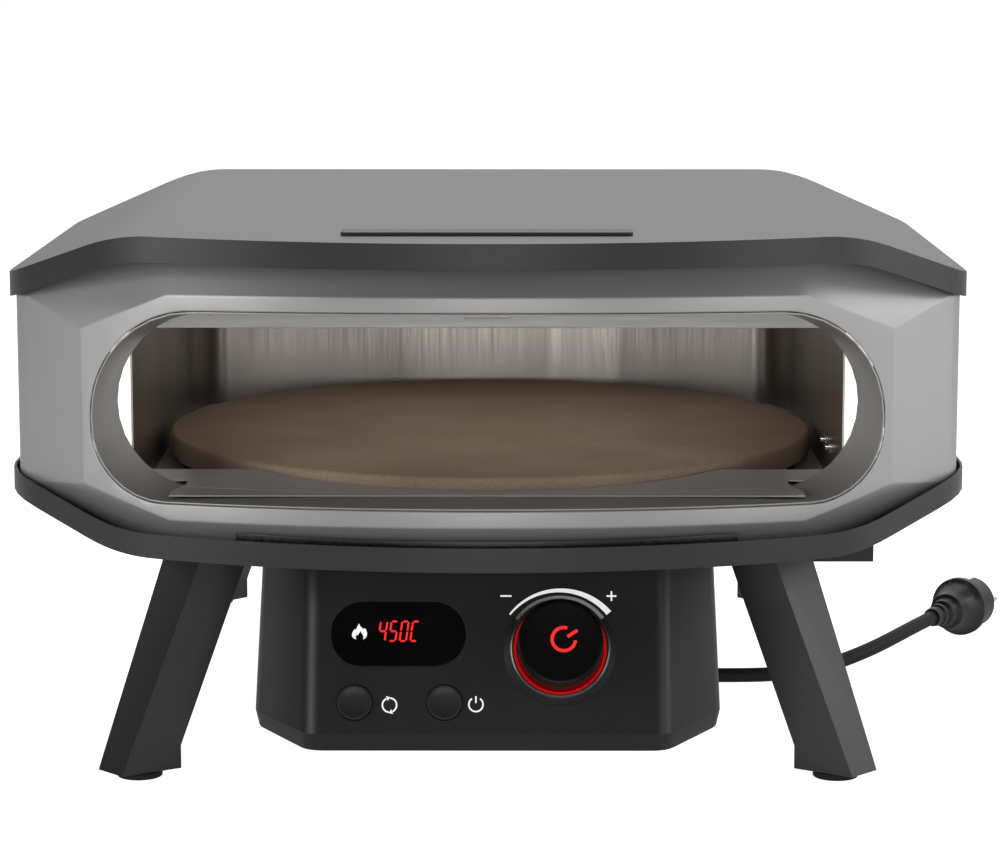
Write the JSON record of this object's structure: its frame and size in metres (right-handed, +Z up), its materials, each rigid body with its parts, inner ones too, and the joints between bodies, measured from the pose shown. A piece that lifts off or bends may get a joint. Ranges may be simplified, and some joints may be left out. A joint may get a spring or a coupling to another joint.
{
  "type": "electric pizza maker",
  "caption": "Countertop electric pizza oven with an open front, a turning round stone, a control box under the base, splayed legs and a mains lead.",
  "frame": {"origin": "centre of the box round the oven without its mains lead, at the floor under the feet", "axes": "+X to the right as seen from the open front, +Y to the back, +Z up; the stone turns about a vertical axis 16 mm in front of the origin"},
  "size_m": [0.6789, 0.624, 0.341],
  "materials": {
    "charcoal_paint": "satin powder coat",
    "silver_paint": "satin powder coat",
    "stainless": "brushed",
    "galvanised": "dull",
    "bright_steel": "polished",
    "heater_tube": "heat-darkened",
    "baking_stone": "matte, soft edge",
    "porcelain": "matte",
    "wool": "loose mineral wool",
    "bronze": "machined",
    "nylon": "moulded",
    "black_plastic": "satin moulded",
    "gloss_black": "gloss",
    "red_diffuser": "lit from behind",
    "board_green": "printed circuit board",
    "part_black": "moulded",
    "soft_rubber": "matte",
    "plated": "nickel plated",
    "screw_steel": "blackened"
  },
  "bodies": {
    "oven": {"roof_shell": "charcoal_paint", "roof_badge": "part_black", "roof_insulation": "wool", "front_fascia": "silver_paint", "mouth_liner": "stainless", "left_side_panel": "silver_paint", "right_side_panel": "silver_paint", "rear_panel": "silver_paint", "base_tray": "charcoal_paint", "base_insulation": "wool", "sill_strip": "bright_steel", "hearth_plate": "stainless", "chamber_walls": "stainless", "chamber_ceiling": "stainless", "chamber_floor": "galvanised", "baffle_plate": "stainless", "upper_heater": "heater_tube", "lower_heater": "heater_tube", "heater_brackets": "stainless", "heater_bushings": "porcelain", "temperature_probe": "bright_steel", "shaft_bush": "bronze", "gear_motor": "galvanised", "motor_bracket": "galvanised", "drive_cover": "charcoal_paint", "control_housing": "black_plastic", "control_back_cover": "black_plastic", "display_window": "gloss_black", "display_module": "part_black", "control_board": "board_green", "knob_collar": "gloss_black", "knob_light_ring": "red_diffuser", "encoder_body": "part_black", "button_switches": "part_black", "front_left_leg": "charcoal_paint", "front_right_leg": "charcoal_paint", "rear_left_leg": "charcoal_paint", "rear_right_leg": "charcoal_paint", "foot_pads": "soft_rubber", "leg_screws": "screw_steel", "roof_screws": "screw_steel", "panel_screws": "screw_steel", "box_screws": "screw_steel", "junction_box": "black_plastic", "wire_conduits": "soft_rubber", "cord_gland": "soft_rubber", "mains_cord": "soft_rubber", "plug_body": "black_plastic", "plug_pins": "plated", "plug_contacts": "plated"},
    "turntable": {"stone": "baking_stone", "stone_carrier": "stainless", "drive_shaft": "bright_steel", "drive_gear": "nylon"},
    "motor_pinion": {"pinion": "bright_steel"},
    "knob_spindle_body": {"knob_spindle": "bright_steel"},
    "knob_body": {"knob": "black_plastic"},
    "rotate_button_body": {"rotate_button": "gloss_black"},
    "power_button_body": {"power_button": "gloss_black"}
  },
  "joints": [
    {"name": "stone_turn", "type": "hinge", "parent": "oven", "child": "turntable", "pos_m": [0, -0.016, 0.173], "axis": [0, 0, 1], "continuous": true},
    {"name": "pinion_spin", "type": "hinge", "parent": "oven", "child": "motor_pinion", "pos_m": [0, -0.076, 0.125], "axis": [0, 0, 1], "continuous": true},
    {"name": "knob_turn", "type": "hinge", "parent": "oven", "child": "knob_spindle_body", "pos_m": [0.0442, -0.25486, 0.08538], "axis": [0, -0.9272, 0.3746], "range_deg": [0, 105]},
    {"name": "knob_press", "type": "slide", "parent": "knob_spindle_body", "child": "knob_body", "axis": [0, 0.9272, -0.3746], "range_m": [0, 0.0012], "stiffness_N_per_m": 600, "springref_m": -0.0015},
    {"name": "rotate_button_press", "type": "slide", "parent": "oven", "child": "rotate_button_body", "axis": [0, 0.9272, -0.3746], "range_m": [0, 0.0015], "stiffness_N_per_m": 400, "springref_m": -0.001},
    {"name": "power_button_press", "type": "slide", "parent": "oven", "child": "power_button_body", "axis": [0, 0.9272, -0.3746], "range_m": [0, 0.0015], "stiffness_N_per_m": 400, "springref_m": -0.001}
  ],
  "couplings": [
    {"joint": "pinion_spin", "follows": "stone_turn", "ratio": -3}
  ]
}
